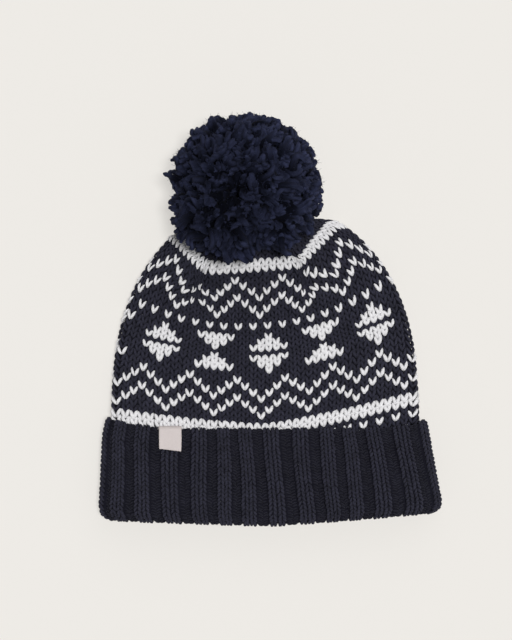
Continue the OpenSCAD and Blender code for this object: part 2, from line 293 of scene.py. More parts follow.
def cells(*axes):
    """Every combination of some values, as one flat array for each of them."""
    return [g.ravel() for g in np.meshgrid(*axes, indexing="ij")]


def by_course(name, course):
    """A value of the table of courses, between the courses that it names."""
    return np.interp(course, *COURSES[name])


def shapes(context):
    """The sizes of the body, the cuff and the ball."""
    scene = context.scene
    return scene.beanie_body, scene.beanie_cuff, scene.beanie_pom


def sag_at(cuff, s):
    """Height by which the ribbing curves up at the sides, at a distance from the hem."""
    return mix(cuff.hem_sag, cuff.edge_sag, s / cuff.height)


def cuff_rise(cuff, aside, s):
    """Height by which the cuff curves up on its left and right, at a distance from the hem.

    On the left its hem curves up less, and its top edge more and sooner.
    """
    far = np.abs(aside)
    hem = np.where(aside < 0, 0.4 * cuff.hem_sag, cuff.hem_sag) * far ** 1.1
    edge = np.where(aside < 0, 1.24 * cuff.edge_sag * far ** 5, 0.8 * cuff.edge_sag * far ** 10)
    return mix(hem, edge, s / cuff.height)


def cuff_edge(cuff):
    """Radius of the cuff's rolled top edge, and the distance of its middle from the hem."""
    radius = (cuff.outer - cuff.inner) / 2
    return radius, cuff.height - radius - cuff.yarn + EDGE_SLACK


class Shade:
    """A socket of a material's node tree, on which arithmetic adds Math nodes."""

    def __init__(self, tree, socket=None):
        self.tree = tree
        self.socket = socket

    def add(self, kind, settings=(), inputs=(), output=0):
        """Any node: its type, its settings, the values or links of its sockets, and which output."""
        node = self.tree.nodes.new(kind)
        for name, value in dict(settings).items():
            setattr(node, name, value)
        for name, value in dict(inputs).items():
            socket = node.inputs[name]
            if isinstance(value, Shade):
                self.tree.links.new(value.socket, socket)
            elif socket.type == "RGBA" and len(value) == 3:
                socket.default_value = (*value, 1.0)
            else:
                socket.default_value = value
        return Shade(self.tree, node.outputs[output] if node.outputs else None)

    def other(self, output):
        """Another output of the same node."""
        return Shade(self.tree, self.socket.node.outputs[output])

    def math(self, operation, *values):
        """A Math node."""
        return self.add("ShaderNodeMath", {"operation": operation}, dict(enumerate(values)))

    def sine(self):
        """The sine of this value."""
        return self.math("SINE", self)

    def eased(self, start, end, low=0.0, high=1.0):
        """An ease from low to high, while this value goes from start to end."""
        return self.add("ShaderNodeMapRange", {"interpolation_type": "SMOOTHSTEP"}, {
            "Value": self, "From Min": start, "From Max": end, "To Min": low, "To Max": high,
        })

    def noise(self, scale, detail):
        """Noise over this place."""
        return self.add("ShaderNodeTexNoise", {}, {"Vector": self, "Scale": scale, "Detail": detail})

    def bump(self, strength, distance):
        """A normal that shows this value as a relief."""
        return self.add(
            "ShaderNodeBump", {}, {"Strength": strength, "Distance": distance, "Height": self}
        )

    def tint(self, low, high):
        """A colour between two colours, with this value as the share."""
        return self.add(
            "ShaderNodeMix", {"data_type": "RGBA"}, {0: self, 6: low, 7: high}, output=2
        )

    def __add__(self, other):
        return self.math("ADD", self, other)

    def __sub__(self, other):
        return self.math("SUBTRACT", self, other)

    def __mul__(self, other):
        return self.math("MULTIPLY", self, other)


def scaled(tint, factor):
    """A colour made darker or lighter, up to full white."""
    return tuple(min(1.0, c * factor) for c in tint)


def new_material(name):
    """An empty material, with a Shade to build its nodes from and one of the places on a piece."""
    material = bpy.data.materials.new(name)
    material.use_nodes = True
    material.node_tree.nodes.clear()
    shade = Shade(material.node_tree)
    return material, shade, shade.add("ShaderNodeTexCoord", output=3)


def close_material(material, shade, inputs):
    """Ends a material in one Principled shader."""
    surface = shade.add("ShaderNodeBsdfPrincipled", {}, inputs)
    shade.add("ShaderNodeOutputMaterial", {}, {"Surface": surface})
    return material


def yarn_material(name, tint, dark, light, twist=3.0, sheen=0.2, bump=0.6, groove=0.5, root_shade=0.0,
                  gloss=0.15, flank=0.0, parting=None):
    """Matt woollen yarn: fibres along a twisted strand of two plies, a mottled colour and a sheen.

    The root share paints shade on the strand's buried end, and the flank share paints shade on its
    sides, where the next strand lies against it. Around a parting, given as a place, the yarn is
    darker with painted shade, and far from it paler with painted light.
    """
    material, shade, places = new_material(name)
    run = shade.add("ShaderNodeUVMap", {"uv_map": "OFBake"})
    along = shade.add("ShaderNodeSeparateXYZ", {}, {0: run})
    around = along.other(1)
    plies = 2.0
    strand = (along * (twist * FULL_TURN) + around * (plies * FULL_TURN)).sine()
    fibres = places.noise(scale=2600.0, detail=3.0)
    patches = places.noise(scale=140.0, detail=2.0)
    # The twist darkens the colour in the grooves between the plies as painted shade, besides giving the
    # relief below.
    value = fibres * 1.1 + patches * 1.1 + strand * (0.25 * groove) - 0.6
    # Painted shade: the strand is darker towards its buried root, deep in the ball.
    if root_shade:
        value = value * (along.eased(0.64, 1.02) * root_shade + (1.0 - root_shade))
    # Painted shade around the parting, and painted light towards the ball's rim.
    if parting is not None:
        away = shade.add("ShaderNodeVectorMath", {"operation": "DISTANCE"},
                         {0: places, 1: parting}, output=1)
        value = value * away.eased(0.020, 0.080, low=0.78, high=1.45)
    low, high = scaled(tint, dark), scaled(tint, light)
    tone = value.tint(low, high)
    # Painted shade: the yarn's sides are darker, where the next strand lies against them.
    if flank:
        crest = (around * FULL_TURN).sine().eased(-0.2, 0.8)
        tone = crest.tint(value.tint(scaled(low, 1.0 - flank), scaled(high, 1.0 - flank)), tone)
    return close_material(material, shade, {
        "Base Color": tone,
        "Roughness": fibres * 0.2 + 0.78,
        "Normal": (strand * groove + fibres).bump(bump, distance=0.0005),
        "Sheen Weight": sheen,
        "Sheen Roughness": 0.5,
        "Sheen Tint": tuple(min(1.0, 0.15 + 1.5 * c) for c in tint),
        "Specular IOR Level": gloss,
    })


def woven_material(name, tint):
    """Smooth woven tape, with fine threads across and along."""
    material, shade, places = new_material(name)
    warp_pitch, weft_pitch = 0.0007, 0.0005
    across = shade.add("ShaderNodeSeparateXYZ", {}, {0: places})
    warp = (across * (FULL_TURN / warp_pitch)).sine()
    weft = (across.other(1) * (FULL_TURN / weft_pitch)).sine()
    grain = places.noise(scale=900.0, detail=3.0)
    weave = warp * weft * 0.25 + grain
    return close_material(material, shade, {
        "Base Color": (weave * 0.8 + 0.1).tint(scaled(tint, 0.86), tint),
        "Roughness": grain * 0.2 + 0.6,
        "Normal": weave.bump(strength=0.35, distance=0.0002),
        "Sheen Weight": 0.1,
        "Specular IOR Level": 0.3,
    })


def floor_material(name, tint):
    """A plain pale floor with a barely visible grain, whose shadows look faint to the camera."""
    material, shade, places = new_material(name)
    grain = places.noise(scale=60.0, detail=4.0)
    paper = shade.add("ShaderNodeBsdfPrincipled", {}, {
        "Base Color": grain.tint(scaled(tint, 0.985), tint),
        "Roughness": grain * 0.1 + 0.85,
        "Specular IOR Level": 0.1,
    })
    glow = shade.add("ShaderNodeEmission", {}, {"Color": tint, "Strength": 1.0})
    faint = shade.add("ShaderNodeLightPath") * 0.65
    surface = shade.add("ShaderNodeMixShader", {}, {0: faint, 1: paper, 2: glow})
    shade.add("ShaderNodeOutputMaterial", {}, {"Surface": surface})
    return material


def finish_material(key):
    """The materials of the hat, each made once."""
    body, _, pom = shapes(bpy.context)
    finish = bpy.context.scene.beanie_finish
    if key == "label":
        return bpy.data.materials.get("woven_tape") or woven_material("woven_tape", finish.label)
    # Painted shade on the sides of the knit's yarn legs.
    knit = {"flank": 0.45}
    loose = {"sheen": 0.06, "gloss": 0.03}
    parting = pom_frame(body, pom)[0] + pom.radius * parting_way(pom)
    yarns = {
        "navy": ("navy_wool", scaled(finish.navy, 0.95), 0.55, 1.5, knit),
        "rib": ("navy_wool_in_ribs", scaled(finish.navy, 0.93), 0.55, 1.5, knit),
        # Painted shade: a darker copy of the navy yarn for the purl bumps down in the valleys.
        "purl": ("navy_wool_painted_valley_shade", scaled(finish.navy, 0.60), 0.55, 1.5, knit),
        # Painted shade: a darker copy of the navy yarn, for the shaded gaps between stitches and the
        # depths of the pom pom.
        "lining": ("navy_painted_shade", scaled(finish.navy, 0.4), 0.7, 1.3, {"sheen": 0.03, "gloss": 0.05}),
        "white": ("white_wool", finish.white, 0.90, 1.08, {"sheen": 0.1, "groove": 0.3, **knit}),
        # The pom pom's roving carries painted shade at its roots, in its ply grooves and around the
        # parting, and painted light far from the parting.
        "pom": ("pom_roving", finish.pom, 0.1, 3.2,
                {"twist": 2.0, "groove": 0.4, "bump": 0.8, "root_shade": 0.93, "parting": parting, **loose}),
        # Painted sheen: the pom pom's yarn made paler for the fine hairs, as the light that loose
        # fibres catch.
        "fuzz": ("pom_hair_painted_sheen", finish.pom, 1.0, 4.5, {"groove": 0.0, "bump": 0.0, **loose}),
        "tie": ("plied_yarn", finish.pom, 0.7, 1.3, {"twist": 9.0}),
    }
    name, tint, dark, light, settings = yarns[key]
    return bpy.data.materials.get(name) or yarn_material(name, tint, dark, light, **settings)


def make_piece(name, node, finish, shape):
    """One mesh piece for a solid of the part, from its points, its face groups and their maps.

    No point goes below the floor.
    """
    points, faces, runs = shape
    mesh = bpy.data.meshes.new(name)
    points = np.asarray(points, dtype=np.float32).reshape(-1, 3).copy()
    points[:, 2] = np.maximum(points[:, 2], 0.0)
    corners = np.concatenate([group.ravel() for group in faces])
    counts = np.concatenate([np.full(len(group), group.shape[1]) for group in faces])
    starts = np.concatenate([[0], np.cumsum(counts)[:-1]])
    mesh.vertices.add(len(points))
    mesh.vertices.foreach_set("co", points.ravel())
    mesh.loops.add(len(corners))
    mesh.loops.foreach_set("vertex_index", corners.astype(np.int32))
    mesh.polygons.add(len(counts))
    mesh.polygons.foreach_set("loop_start", starts.astype(np.int32))
    mesh.polygons.foreach_set("use_smooth", np.ones(len(counts), dtype=bool))
    mesh.uv_layers.new(name="OFBake").data.foreach_set(
        "uv", np.concatenate(runs).astype(np.float32).ravel()
    )
    mesh.update(calc_edges=True)
    if mesh.validate():
        raise RuntimeError(name + " has broken faces")
    mesh.materials.append(finish_material(finish))
    piece = bpy.data.objects.new(name, mesh)
    bpy.context.scene.collection.objects.link(piece)
    body, slot = NODES[node]
    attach(piece, body)
    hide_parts(node)
    return piece


def face_maps(*corners):
    """Map values of faces, from the two values of each of their corners."""
    return columns(*(columns(*corner) for corner in corners))


def path_frames(paths, ups):
    """Directions along paths, across them and out of them, where ups are roughly outwards."""
    along = unit(np.gradient(paths, axis=-2))
    across = unit(np.cross(along, ups))
    return along, across, np.cross(across, along)


def tubes(paths, ups, radii, sides, flat=1.0):
    """Round-ended tubes along many paths at once: points, face groups and a map of each face.

    flat squeezes a tube towards its surface.
    """
    count, steps, _ = paths.shape
    along, across, lift = path_frames(paths, ups)
    angle = FULL_TURN * np.arange(sides) / sides
    ring = (
        across[:, :, None, :] * np.cos(angle)[:, None]
        + lift[:, :, None, :] * (np.sin(angle) * flat)[:, None]
    )
    rings = paths[:, :, None, :] + radii[:, :, None, None] * ring
    round_end = 0.6
    first = paths[:, 0] - along[:, 0] * radii[:, :1] * round_end
    last = paths[:, -1] + along[:, -1] * radii[:, -1:] * round_end
    points = np.concatenate([rings.reshape(count, -1, 3), first[:, None], last[:, None]], axis=1)

    # Four-sided faces between the rings, and three-sided ones at the two ends.
    j, k = cells(np.arange(steps - 1), np.arange(sides))
    k2 = (k + 1) % sides
    quads = columns(j * sides + k, (j + 1) * sides + k, (j + 1) * sides + k2, j * sides + k2)
    s = np.arange(sides)
    s2 = (s + 1) % sides
    tip, top = steps * sides, (steps - 1) * sides
    ends = np.concatenate([
        columns(np.full(sides, tip), s, s2),
        columns(np.full(sides, tip + 1), top + s2, top + s),
    ])
    shift = (np.arange(count) * (tip + 2))[:, None, None]
    faces = [(quads[None] + shift).reshape(-1, 4), (ends[None] + shift).reshape(-1, 3)]

    # The map holds the share along the tube and the share around it.
    lo, hi = j / (steps - 1), (j + 1) / (steps - 1)
    a0, a1 = k / sides, (k + 1) / sides
    b0, b1 = s / sides, (s + 1) / sides
    zero, one = np.zeros(sides), np.ones(sides)
    maps = face_maps((lo, a0), (hi, a0), (hi, a1), (lo, a1))
    caps = np.concatenate([face_maps((zero, b0), (zero, b0), (zero, b1)),
                           face_maps((one, b0), (one, b1), (one, b0))])
    runs = [np.broadcast_to(m[None], (count, *m.shape)).reshape(-1, 2) for m in (maps, caps)]
    return points, faces, runs


def ring_skin(rings):
    """A closed skin through rings of equal length, of which the last joins the first."""
    steps, sides, _ = rings.shape
    j, k = cells(np.arange(steps), np.arange(sides))
    j2, k2 = (j + 1) % steps, (k + 1) % sides
    quads = columns(j * sides + k, j * sides + k2, j2 * sides + k2, j2 * sides + k)
    lo, hi = j / steps, (j + 1) / steps
    a0, a1 = k / sides, (k + 1) / sides
    maps = face_maps((a0, lo), (a1, lo), (a1, hi), (a0, hi))
    return rings.reshape(-1, 3), [quads], [maps.reshape(-1, 2)]


class Skin:
    """Surface points by wale and course, sampled between the points with a height above them."""

    def __init__(self, points, wales, first_course=0.0, course_step=1.0):
        self.points = points
        self.wales = wales
        self.first = first_course
        self.step = course_step
        across = np.roll(points, -1, axis=1) - np.roll(points, 1, axis=1)
        upward = np.gradient(points, axis=0)
        self.normals = unit(np.cross(across, upward))

    def at(self, wale, course, height):
        """Points and normals at these wales and courses, raised by a height."""
        rows, sides, _ = self.points.shape
        x = np.mod(wale / self.wales, 1.0) * sides
        y = np.clip((course - self.first) / self.step, 0.0, rows - 1.001)
        x0, y0 = np.floor(x).astype(int), np.floor(y).astype(int)
        fx, fy = (x - x0)[..., None], (y - y0)[..., None]
        x0, x1 = x0 % sides, (x0 + 1) % sides
        place, normal = (
            mix(mix(g[y0, x0], g[y0, x1], fx), mix(g[y0 + 1, x0], g[y0 + 1, x1], fx), fy)
            for g in (self.points, self.normals)
        )
        normal = unit(normal)
        return place + normal * np.broadcast_to(height, wale.shape)[..., None], normal


def flat_loop(half, rise, fullness, angle, out):
    """A flattened loop moved outwards: its points across and up."""
    x = np.cos(angle)
    z = np.sign(np.sin(angle)) * np.sqrt(np.maximum(0.0, 1.0 - np.abs(x) ** fullness))
    nx = fullness / half * np.sign(x) * np.abs(x) ** (fullness - 1.0)
    nz = 2.0 * z / rise
    size = np.hypot(nx, nz)
    return half * x + out * nx / size, rise * z + out * nz / size


def loop_angles():
    """Angles around a loop, from its right end back to it."""
    return FULL_TURN * np.arange(LOOP_SAMPLES + 1) / LOOP_SAMPLES


def running(steps):
    """Running lengths at the start and after each of some steps."""
    return np.concatenate([[0.0], np.cumsum(steps)])


def spread_wales(lengths, ends, wales, count, crowding):
    """Running lengths of the wales: counted from the front's middle, and closer at the two sides.

    ends are the running lengths at which the front's wales end, right and left.
    """
    span = count / 4
    middle, total = ends[1] - ends[0], lengths[-1]
    wale = np.mod(wales + span, count) - span
    front = wale < span
    f = np.where(front, wale, wale - 2 * span) / span
    f = 0.5 - 0.5 * ((1.0 + crowding) * f - crowding * f ** 3)
    return (ends[0] + np.where(front, middle * f, middle + (total - middle) * f)) % total


def lay_wales(body, courses, loops, groove, wales):
    """Points of the wales on the body's loops, one loop to a course.

    Low courses are counted along their width alone, and high ones along their climb as well.
    """
    climb = smooth((courses - 26.0) / 5.0)
    swallow, roll, shift, crowding = (
        by_course(name, courses) for name in ("swallow", "roll", "shift", "crowding")
    )
    half, quarter = LOOP_SAMPLES // 2, LOOP_SAMPLES // 4
    in_front = np.arange(LOOP_SAMPLES) < half
    edge_width = 0.0035
    rows = []
    for i, loop in enumerate(loops):
        steps = np.linalg.norm(np.diff(loop, axis=0) * (1.0, climb[i], 1.0), axis=1)
        steps = steps * (1.0 + swallow[i] * (groove[i, 1:] + groove[i, :-1]) / 2)
        x = loop[:, 0]
        inwards = np.minimum(x - x.min(), x.max() - x)[1:]
        ease = roll[i] * np.exp(-(inwards / edge_width) ** 2) * steps
        start = -ease[:quarter].sum()
        ends = (start, steps[:half].sum() + start)
        lengths = running(steps + np.where(in_front, -ease, ease))
        at = spread_wales(lengths, ends, wales + shift[i], body.wales, crowding[i])
        rows.append(columns(*(np.interp(at, lengths, loop[:, c]) for c in range(3))))
    points = np.array(rows)
    points[..., 2] = np.maximum(points[..., 2], 0.0)
    return points


def half_width(body, s):
    """Half the body's width at a distance from the hem."""
    q = np.clip((s - body.straight) / (body.reach - body.straight), 0.0, 1.0)
    return body.width / 2 * (1.0 - q ** body.fullness) ** (1.0 / body.fullness)


def crown_closing(body, s):
    """Share by which the crown is drawn together at a distance from the hem."""
    q = np.clip(1.0 + (s - body.crown_height) / body.crown_round, 0.0, 1.0)
    return 1.0 - np.sqrt(1.0 - q * q)


def body_points(body, cuff, courses, wales, out):
    """Points of the body by course and wale, lying a distance out from the hollow."""
    angle = loop_angles()[None, :]
    xi = np.cos(angle)
    front = np.sin(angle) > 0
    r = np.asarray(courses)[:, None]

    # The ends of each course, at the sides of the body.
    middle = body.stripe_height + (r - STRIPE_MIDDLE) * body.course + by_course("lift", r)
    sag, tilt = by_course("sag", r), by_course("tilt", r)
    right = np.minimum(middle + sag + tilt, body.crown_height)
    left = np.minimum(middle + sag - tilt, body.crown_height)
    close = crown_closing(body, (right + left) / 2)
    half_right = mix(half_width(body, right), body.stub, close)
    half_left = mix(half_width(body, left), body.stub, close)
    half = mix(half_left, half_right, (xi + 1.0) / 2)
    mean = (half_left + half_right) / 2
    xm = body.centre_x + body.gather_x * close
    tie_x = body.centre_x + body.gather_x
    x = xm + xi * half

    # Low courses are bowed, and high ones run level between the pleats and climb outside them.
    rightward = x > tie_x
    edge = np.where(rightward, xm + half_right - tie_x, tie_x - xm + half_left)
    below = np.minimum(r, LEVEL_TOP)
    level = np.where(rightward, by_course("right_pleat", below), by_course("left_pleat", below))
    level = np.minimum(level, 0.6 * edge)
    soft_bend = 0.003
    steepness = np.where(rightward, 1.18, 1.03)
    away = np.abs(x - tie_x) - level
    away = (away + np.sqrt(away ** 2 + soft_bend ** 2)) / 2
    trough = np.minimum(steepness * away / (edge - level), 1.0)
    bow = mix(np.abs(xi) ** by_course("power", r), trough, smooth((r - 20.0) / 9.0))
    s = middle + sag * bow + tilt * xi

    # The hollow is wide and flat at the cuff, and small and round at the stub.
    span = body.crown_height - body.start
    v0 = (s - body.start) / span
    v = v0 - sag_at(cuff, body.start) * xi ** 2 * smooth((1.0 - v0) / 0.3) / span
    narrow = smooth((v0 - 0.94) / 0.06)
    rise = mix(body.hollow / 2, body.stub - body.wall, narrow)
    fullness = mix(FLAT, ROUND, narrow)
    zm = mix(mix(cuff.rest_z, body.rest_z, smooth(v / 0.3)), body.tie_z, smooth((v - 0.85) / 0.15))

    # Two pleats, the overlap at the right one, the fold at the left one, and the tuck at the cuff.
    pleat_width, overlap_width, soft_edge = 0.0024, 0.0036, 0.004
    overlap_x, overlap_drop, fold_x, tuck_depth = 0.0395, 0.0020, 0.0290, 0.0022
    groove = np.zeros_like(s)
    for side, pleat in ((-1, "left_pleat"), (1, "right_pleat")):
        crease = tie_x + side * by_course(pleat, r)
        groove += np.exp(-((x - crease) / pleat_width) ** 2) * front
    tuck = smooth((cuff.height + cuff_rise(cuff, xi, cuff.height) - s) / soft_edge)
    overlap = np.exp(-((x - tie_x - overlap_x) / overlap_width) ** 2)
    overlap = overlap * smooth((r - 28.0) / 3.0) * front
    fold = smooth((tie_x - fold_x - x) / soft_edge) * front
    s = s - overlap_drop * overlap + fold * by_course("fold", r)
    fold = fold * smooth((r - 31.2) / 0.6)
    sunk = np.minimum(out, tuck_depth)
    lx, lz = flat_loop(mean - body.wall, rise, fullness, angle,
                       out - by_course("depth", r) * groove - sunk * tuck - sunk * fold)
    loops = np.stack([xm + lx * half / mean, cuff.hem_y + s, zm + lz], axis=2)
    return lay_wales(body, r[:, 0], loops, groove, wales)


def chart(wale, course):
    """Whether a stitch of the pattern is white: stripes, zigzags, diamonds, hourglasses, dots."""
    white = np.isin(course, (0, 21)) & (wale % 2 == 0)
    white |= np.isin(course, STRIPES)
    climb = np.abs((wale + 1) % 6 - 3)
    for foot in (5, 8, 23, 26):
        white |= course == foot + 3 - climb
    waist, tall = 16, 3
    away = np.abs(course - waist)
    inside = (away > 0) & (away <= tall)
    diamond = np.abs((wale + 7) % 14 - 7)
    white |= inside & (diamond <= tall - away)
    hourglass = np.abs(wale % 14 - 7)
    white |= inside & (hourglass <= away - 1)
    return white


def arch(steps, low, swell, start, end):
    """A value along a yarn leg that swells in its middle, from a part of a half wave."""
    return low + swell * np.sin(math.pi * mix(start, end, steps))


def drifts(seed, kinds, count):
    """Chance shifts of several kinds for each of a number of yarn legs."""
    return np.random.default_rng(seed).normal(0.0, 1.0, (kinds, count, 1))


def stitch_legs(skin, wale, course, side, stacked, size, radius, seed):
    """The yarn legs of stitches: each rises out of the stitch below and leans to its side.

    Where stitches of one yarn are stacked, their legs are longer and stand closer together.
    """
    steps = np.linspace(0.0, 1.0, 6)
    drift = drifts(seed, 3, len(wale))

    # Across, the numbers are shares of a stitch's width, and along, of a course's height.
    lean = 0.045 + np.where(stacked, 0.355, 0.385)[:, None] * steps ** 0.9
    u = wale[:, None] + side[:, None] * lean + 0.025 * drift[0]
    rise = np.where(stacked, 1.12, 1.0)[:, None] * (-0.60 + 1.20 * steps)
    v = course[:, None] + rise + 0.035 * drift[1]
    paths, ups = skin.at(u, v, size * arch(steps, 0.05, 1.0, 0.08, 0.92))
    radii = radius[:, None] * arch(steps, 0.42, 0.60, 0.10, 0.92) * (1.0 + 0.06 * drift[2])
    return tubes(paths, ups, radii, 6, flat=0.9)


def lower_edge(body, cuff, x):
    """Place along the hat of the body's lower edge under the cuff, at places across the hat."""
    across = (x - body.centre_x) / (body.width / 2)
    return cuff.hem_y + body.start + sag_at(cuff, body.start) * across ** 2 - BODY_TUCK


class BEANIE_OT_knit_body(bpy.types.Operator):
    """Knit the patterned body: a backing painted dark as shade, and two yarns of stitches"""

    bl_idname = "beanie.knit_body"
    bl_label = "Knit body"

    def execute(self, context):
        body, cuff, _ = shapes(context)
        samples, low_course = 4, -1.5
        wales = np.arange(body.wales * samples) / samples
        courses = np.arange(low_course, TOP_COURSE + 0.1)
        outer = body_points(body, cuff, courses, wales[::2], out=0.0022)
        inner = body_points(body, cuff, courses[::-1], wales[::2], out=0.0004)
        for layer in (outer, inner):
            layer[..., 1] = np.maximum(layer[..., 1], lower_edge(body, cuff, layer[..., 0]))
        # The backing is painted dark as the shade between the stitches.
        make_piece("body_backing", "knit_body", "lining", ring_skin(np.concatenate([outer, inner])))

        first, step = -4.0, 0.5
        courses = np.arange(first, TOP_COURSE + step, step)
        skin = Skin(body_points(body, cuff, courses, wales, out=0.0026), body.wales, first, step)
        wale, course = cells(np.arange(body.wales), np.arange(-3.0, 40.0))
        place, _ = skin.at(wale, course, 0.0)
        seen = place[:, 1] > lower_edge(body, cuff, place[:, 0])
        (right, _), (left, _) = (skin.at(wale + half, course, 0.0) for half in (0.5, -0.5))
        pitch = np.linalg.norm(right - left, axis=1)
        wale, course, pitch = (np.repeat(g[seen], 2) for g in (wale, course, pitch))
        side = np.tile([-1.0, 1.0], len(wale) // 2)

        # White stitches are left out where the knit is gathered too close to show them.
        half_round, full_pitch, least_pitch = body.wales // 2, 0.0054, 0.0024
        counted = (wale + half_round) % body.wales - half_round
        white = chart(counted, course) & (np.isin(course, STRIPES) | (pitch > least_pitch))
        stacked = white & (chart(counted, course - 1) | chart(counted, course + 1))
        front = np.mod(wale + body.wales // 4, body.wales) < half_round
        girth = np.where(stacked, 1.08, 1.0) * np.clip(pitch / full_pitch, 0.45, 1.05)
        groups = (
            ("white_stitches", white, "white", 0.00126, 0.0013),
            ("navy_stitches_front", ~white & front, "navy", 0.00110, 0.0011),
            ("navy_stitches_back", ~white & ~front, "navy", 0.00110, 0.0011),
        )
        for seed, (name, chosen, yarn, thick, size) in enumerate(groups):
            legs = stitch_legs(skin, wale[chosen], course[chosen], side[chosen], stacked[chosen], size,
                               thick * girth[chosen], seed)
            make_piece(name, "knit_body", yarn, legs)
        return {"FINISHED"}


def rib_points(cuff, body, profile, flare, depth):
    """Points of ribbing along a profile of (out, distance from the hem, outward share, swell).

    flare is 1 for the cuff, which widens towards the hem, and 0 for the band.
    """
    angle = loop_angles()
    wales = np.arange(cuff.ribs * RIB_SAMPLES) / RIB_SAMPLES
    rib_half, flank, drawn_in = 0.17, 0.24, 0.0020
    valley = smooth((np.abs(np.mod(wales, 1.0) - 0.5) - rib_half) / flank)

    # The ribs are spread a little unevenly around the hat, and waver on their way up.
    turn = FULL_TURN * wales / cuff.ribs
    uneven = 0.09 * np.cos(6.0 * turn - 2.9) - 0.15 * np.sin(turn) - 0.205
    rows = []
    for out, s, share_out, swell in profile:
        spread = flare * (1.0 - s / cuff.height)
        wide = cuff.half + cuff.flare * spread
        bend = np.clip(1.0 - s / cuff.corner, 0.0, 1.0)
        half = wide - flare * cuff.corner * (1.0 - math.sqrt(1.0 - bend * bend))
        lx, lz = flat_loop(half, body.hollow / 2, FLAT, angle, cuff.outer)
        lengths = running(np.hypot(np.diff(lx), np.diff(lz)))
        place = (wales + uneven + 0.03 * np.sin(5.0 * turn + s * 70.0)) / cuff.ribs
        around = np.interp((1.25 - place) % 1.0 * lengths[-1], lengths, angle)
        qx, qz = flat_loop(half, body.hollow / 2, FLAT, around, out - share_out * depth * valley)
        aside = qx / (wide + cuff.band_wall)
        rise = cuff_rise(cuff, aside, s) if flare else sag_at(cuff, s) * aside ** 2
        # The upper left corner of the cuff's outer face is drawn in.
        drawn = flare * drawn_in * share_out * smooth((s / cuff.height - 0.8) / 0.2)
        drawn = drawn * np.clip(-aside, 0.0, 1.0) ** 4
        rows.append(columns(body.centre_x + cuff.skew * spread + qx + drawn,
                            cuff.hem_y + s + rise + swell * valley,
                            np.maximum(0.0, cuff.rest_z + qz)))
    return np.array(rows)


def cuff_profile(cuff, lift):
    """The cuff's outer face from under the hem's fold to behind its top edge, at even steps."""
    lip = cuff.outer / 2
    edge, top = cuff_edge(cuff)
    swell, turned_in = 0.0009, 0.012
    places = []
    for t in np.arange(0.0, math.pi, RIB_STEP / lip):
        r = lip + lift
        places.append((lip - r * math.cos(t), lip - r * math.sin(t),
                       (0.5 - 0.5 * math.cos(t)) ** 4, -swell * math.sin(t)))
    for s in np.arange(lip, top, RIB_STEP):
        places.append((cuff.outer + lift, s, 1.0, 0.0))
    for t in np.arange(0.0, math.pi, RIB_STEP / edge):
        r = edge + lift
        places.append((cuff.outer - edge + r * math.cos(t), top + r * math.sin(t),
                       0.5 + 0.5 * math.cos(t), swell * math.sin(t)))
    for s in np.arange(top, top - turned_in, -RIB_STEP):
        places.append((cuff.inner + INNER_GAP, s, 0.0, 0.0))
    return places


def rib_legs(cuff, skin, courses, radius, size, seed, turned):
    """Knit wales on the ribs, two to a rib, each of two legs to a course.

    size is the height of a leg's arch, and turned is -1 where the stitches stand upside down.
    """
    rib, course, wale, side = (
        g[:, None]
        for g in cells(np.arange(cuff.ribs), np.arange(courses), [-1.0, 1.0], [-1.0, 1.0])
    )
    steps = np.linspace(0.0, 1.0, 6)
    drift = drifts(seed, 3, len(rib))

    # Across, the numbers are shares of the width of a rib and its valley, and along, of a course.
    lean = 0.020 + 0.085 * steps ** 0.9
    u = rib + 0.5 + 0.140 * wale + side * lean + 0.006 * drift[0]
    rise = (-0.62 + 1.22 * steps) * turned
    v = (course + 0.5 + rise + 0.05 * drift[1]) * (cuff.course / RIB_STEP)
    paths, ups = skin.at(u, v, size * arch(steps, -0.35, 1.4, 0.08, 0.92))
    radii = radius * arch(steps, 0.36, 0.70, 0.08, 0.88) * (1.0 + 0.08 * drift[2])
    return tubes(paths, ups, radii, 6, flat=0.95)


def purl_bumps(cuff, skin, courses, finer, radius, seed):
    """Purl bumps in the valleys between the ribs, two to a course of a finer height."""
    rib, course, wale = (
        g[:, None] for g in cells(np.arange(cuff.ribs), np.arange(courses), [-1.0, 1.0])
    )
    steps = np.linspace(-1.0, 1.0, 5)
    drift = drifts(seed, 4, len(rib))

    # The numbers are shares as in rib_legs, along of a finer course.
    u = rib + 1.0 + 0.085 * wale + 0.080 * steps + 0.014 * drift[0]
    curve = (0.15 + 0.08 * drift[2]) * (1.0 - steps ** 2)
    slant = (0.30 * wale + 0.12 * drift[3]) * steps
    v = course + 0.35 + 0.5 * (wale > 0) + curve + slant + 0.08 * drift[1]
    v = v * (cuff.course / RIB_STEP / finer)
    paths, ups = skin.at(u, v, 0.0003 * (1.0 - 0.8 * steps ** 2))
    radii = radius * np.broadcast_to(1.0 - 0.25 * steps ** 2, u.shape)
    return tubes(paths, ups, radii, 5)


